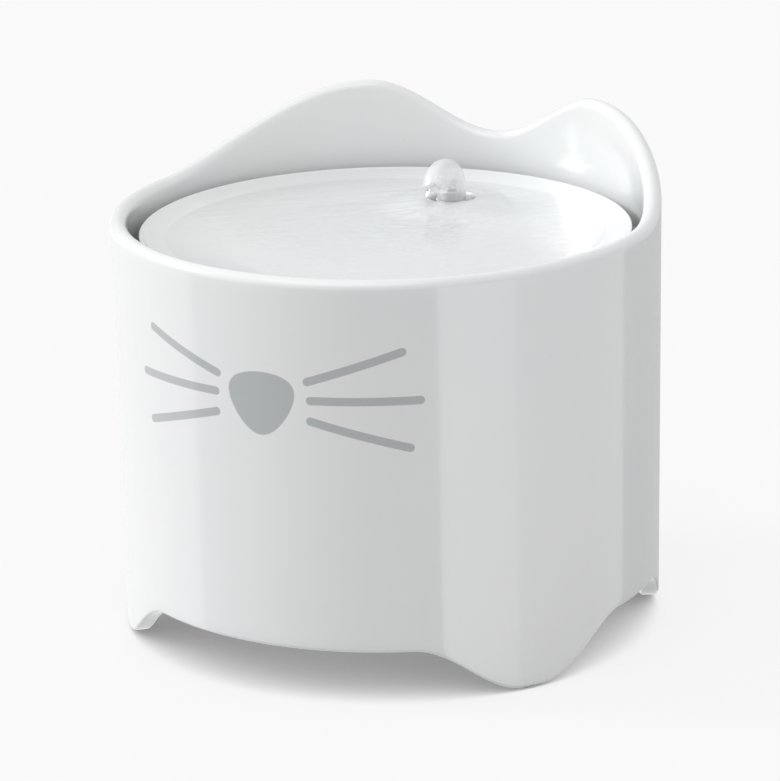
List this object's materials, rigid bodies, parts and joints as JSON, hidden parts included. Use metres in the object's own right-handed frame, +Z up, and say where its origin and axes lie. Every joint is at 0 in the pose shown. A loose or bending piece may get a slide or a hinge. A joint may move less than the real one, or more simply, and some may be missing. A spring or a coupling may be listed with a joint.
{
  "type": "pet water fountain",
  "caption": "Round ceramic water fountain for pets, with an eared rim, a lift-out drinking tray, a clear pouring spout and a small pump and filter case in its reservoir.",
  "frame": {"origin": "on the floor under the middle of the round bowl", "axes": "+Z up, the nose side faces -Y, +X to the right as seen from the nose side"},
  "size_m": [0.2, 0.2, 0.18],
  "materials": {
    "glazed_ceramic": "glossy glaze",
    "clear_plastic": "polished",
    "white_plastic": "satin",
    "pump_plastic": "satin",
    "dial_plastic": "satin",
    "impeller_plastic": "moulded",
    "magnet": "sintered",
    "shaft_ceramic": "ground",
    "bush_rubber": "matte",
    "core_steel": "laminated",
    "copper": "enamelled wire",
    "board": "solder mask",
    "resin": "poured",
    "grey_silicone": "matte",
    "clear_silicone": "translucent",
    "case_plastic": "translucent",
    "frame_plastic": "moulded",
    "carbon": "granular",
    "foam": "open cell"
  },
  "bodies": {
    "bowl": {"bowl_front": "glazed_ceramic", "bowl_right": "glazed_ceramic", "bowl_back": "glazed_ceramic", "bowl_left": "glazed_ceramic", "bowl_floor": "glazed_ceramic", "bowl_foot_1": "glazed_ceramic", "bowl_foot_2": "glazed_ceramic", "bowl_foot_3": "glazed_ceramic", "bowl_foot_4": "glazed_ceramic", "tray_lug_1": "glazed_ceramic", "tray_lug_2": "glazed_ceramic", "tray_lug_3": "glazed_ceramic", "tray_lug_4": "glazed_ceramic", "foot_pad_1": "clear_silicone", "foot_pad_2": "clear_silicone", "foot_pad_3": "clear_silicone", "foot_pad_4": "clear_silicone", "tray_bumper_1": "clear_silicone", "tray_bumper_2": "clear_silicone", "tray_bumper_3": "clear_silicone", "tray_bumper_4": "clear_silicone", "cord_grommet": "grey_silicone", "riser_tube": "white_plastic", "motor_housing": "pump_plastic", "volute_cover": "pump_plastic", "volute_seal": "clear_silicone", "intake_grille": "pump_plastic", "impeller_shaft": "shaft_ceramic", "front_bush": "bush_rubber", "rear_bush": "bush_rubber", "stator_core": "core_steel", "stator_coils": "copper", "circuit_board": "board", "resin_fill": "resin", "cord_gland": "grey_silicone", "suction_cup_1": "clear_silicone", "suction_cup_2": "clear_silicone", "suction_cup_3": "clear_silicone", "suction_cup_4": "clear_silicone", "filter_case": "case_plastic", "foam_block": "foam"},
    "tray": {"tray_plate": "glazed_ceramic", "tray_side": "glazed_ceramic", "tray_mound": "glazed_ceramic"},
    "spout": {"spout_hood": "clear_plastic", "spout_stem": "white_plastic", "stem_seal": "clear_silicone"},
    "filter_lid": {"filter_lid": "white_plastic", "cartridge_frame": "frame_plastic", "carbon_filter": "carbon"},
    "flow_dial": {"flow_dial": "dial_plastic"},
    "impeller": {"impeller": "impeller_plastic", "rotor_magnet": "magnet"}
  },
  "joints": [
    {"name": "tray_lift", "type": "slide", "parent": "bowl", "child": "tray", "axis": [0, 0, 1], "range_m": [0, 0.06]},
    {"name": "spout_swivel", "type": "hinge", "parent": "tray", "child": "spout", "pos_m": [0, 0.05713, 0.1418], "axis": [0, 0, 1], "continuous": true},
    {"name": "lid_lift", "type": "slide", "parent": "bowl", "child": "filter_lid", "axis": [0, 0, 1], "range_m": [0, 0.045]},
    {"name": "dial_turn", "type": "hinge", "parent": "bowl", "child": "flow_dial", "pos_m": [0, 0.04743, 0.0507], "axis": [0, 1, 0], "range_deg": [0, 60]},
    {"name": "impeller_spin", "type": "hinge", "parent": "bowl", "child": "impeller", "pos_m": [0, 0.05713, 0.0507], "axis": [0, 1, 0], "continuous": true}
  ]
}
